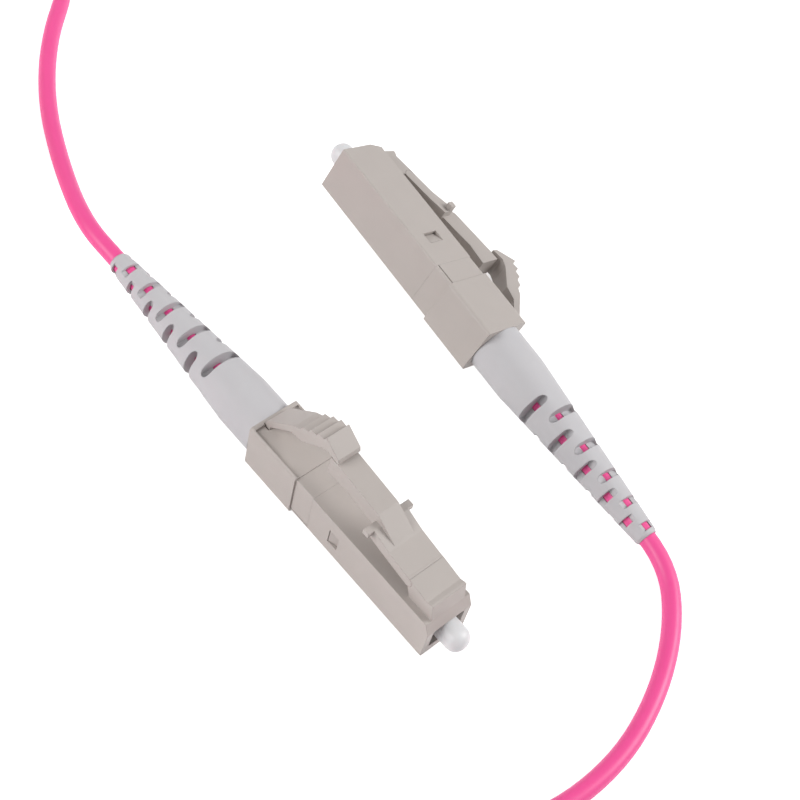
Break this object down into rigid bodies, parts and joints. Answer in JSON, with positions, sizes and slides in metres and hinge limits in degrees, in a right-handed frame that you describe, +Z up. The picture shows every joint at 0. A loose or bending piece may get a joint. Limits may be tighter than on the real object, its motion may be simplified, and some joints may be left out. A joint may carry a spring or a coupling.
{
  "type": "fibre optic connector lead",
  "caption": "Simplex fibre patch lead with a small square latching connector, slotted boot and dust cap on each end.",
  "frame": {"origin": "middle of the bottom face of the near connector's rear shell, which lies on the surface", "axes": "+X along the lead's longest extent, 10 degrees to the left of the near connector's ferrule axis; +Z up, towards its latch"},
  "size_m": [0.1036, 0.0666, 0.0111],
  "materials": {
    "connector_polymer": "satin moulded polymer",
    "boot_polymer": "matt soft moulded polymer",
    "cable_jacket": "satin extruded jacket",
    "cap_polymer": "translucent white polymer",
    "ceramic": "polished zirconia ceramic",
    "plated_metal": "nickel plated, turned",
    "spring_steel": "drawn wire",
    "crimp_metal": "drawn tube",
    "yarn": "aramid yarn",
    "fibre_buffer": "extruded buffer"
  },
  "bodies": {
    "root": {"plug_housing_a": "connector_polymer", "backbone_a": "connector_polymer", "rear_body_a": "connector_polymer", "boot_a": "boot_polymer", "crimp_sleeve_a": "crimp_metal", "strength_yarn_a": "yarn", "held_cable_a": "cable_jacket", "spring_a": "spring_steel", "plug_housing_b": "connector_polymer", "backbone_b": "connector_polymer", "rear_body_b": "connector_polymer", "boot_b": "boot_polymer", "crimp_sleeve_b": "crimp_metal", "strength_yarn_b": "yarn", "held_cable_b": "cable_jacket", "spring_b": "spring_steel", "cable_a_side": "cable_jacket", "cable_b_side": "cable_jacket", "cable_coil": "cable_jacket"},
    "latch_a": {"latch_arm_a": "connector_polymer"},
    "trigger_a": {"trigger_a": "connector_polymer"},
    "ferrule_set_a": {"ferrule_a": "ceramic", "ferrule_flange_a": "plated_metal", "fibre_a": "fibre_buffer"},
    "cap_a": {"dust_cap_a": "cap_polymer"},
    "latch_b": {"latch_arm_b": "connector_polymer"},
    "trigger_b": {"trigger_b": "connector_polymer"},
    "ferrule_set_b": {"ferrule_b": "ceramic", "ferrule_flange_b": "plated_metal", "fibre_b": "fibre_buffer"},
    "cap_b": {"dust_cap_b": "cap_polymer"}
  },
  "joints": [
    {"name": "trigger_press_a", "type": "hinge", "parent": "root", "child": "trigger_a", "pos_m": [-0.00222, 0.00039, 0.005], "axis": [0.1736, 0.9848, 0], "range_deg": [0, 10], "stiffness_Nm_per_rad": 0.004, "springref_deg": -2.86},
    {"name": "latch_flex_a", "type": "hinge", "parent": "root", "child": "latch_a", "pos_m": [0.01482, -0.00261, 0.0063], "axis": [0.1736, 0.9848, 0], "range_deg": [-8, 0], "stiffness_Nm_per_rad": 0.002, "springref_deg": 2.86},
    {"name": "ferrule_float_a", "type": "slide", "parent": "root", "child": "ferrule_set_a", "axis": [-0.9848, 0.1736, 0], "range_m": [0, 0.0006], "stiffness_N_per_m": 500, "springref_m": -0.001, "deforming": ["spring_a"]},
    {"name": "dust_cap_pull_a", "type": "slide", "parent": "ferrule_set_a", "child": "cap_a", "axis": [0.9848, -0.1736, 0], "range_m": [0, 0.01]},
    {"name": "trigger_press_b", "type": "hinge", "parent": "root", "child": "trigger_b", "pos_m": [0.00503, 0.02264, 0.00249], "axis": [0.1648, 0.2989, 0.94], "range_deg": [0, 10], "stiffness_Nm_per_rad": 0.004, "springref_deg": -2.86},
    {"name": "latch_flex_b", "type": "hinge", "parent": "root", "child": "latch_b", "pos_m": [-0.01146, 0.02786, 0.00372], "axis": [0.1648, 0.2989, 0.94], "range_deg": [-8, 0], "stiffness_Nm_per_rad": 0.002, "springref_deg": 2.86},
    {"name": "ferrule_float_b", "type": "slide", "parent": "root", "child": "ferrule_set_b", "axis": [0.9679, -0.2324, -0.0958], "range_m": [0, 0.0006], "stiffness_N_per_m": 500, "springref_m": -0.001, "deforming": ["spring_b"]},
    {"name": "dust_cap_pull_b", "type": "slide", "parent": "ferrule_set_b", "child": "cap_b", "axis": [-0.9679, 0.2324, 0.0958], "range_m": [0, 0.01]}
  ],
  "couplings": [
    {"joint": "latch_flex_a", "follows": "trigger_press_a", "ratio": -0.8},
    {"joint": "latch_flex_b", "follows": "trigger_press_b", "ratio": -0.8}
  ]
}
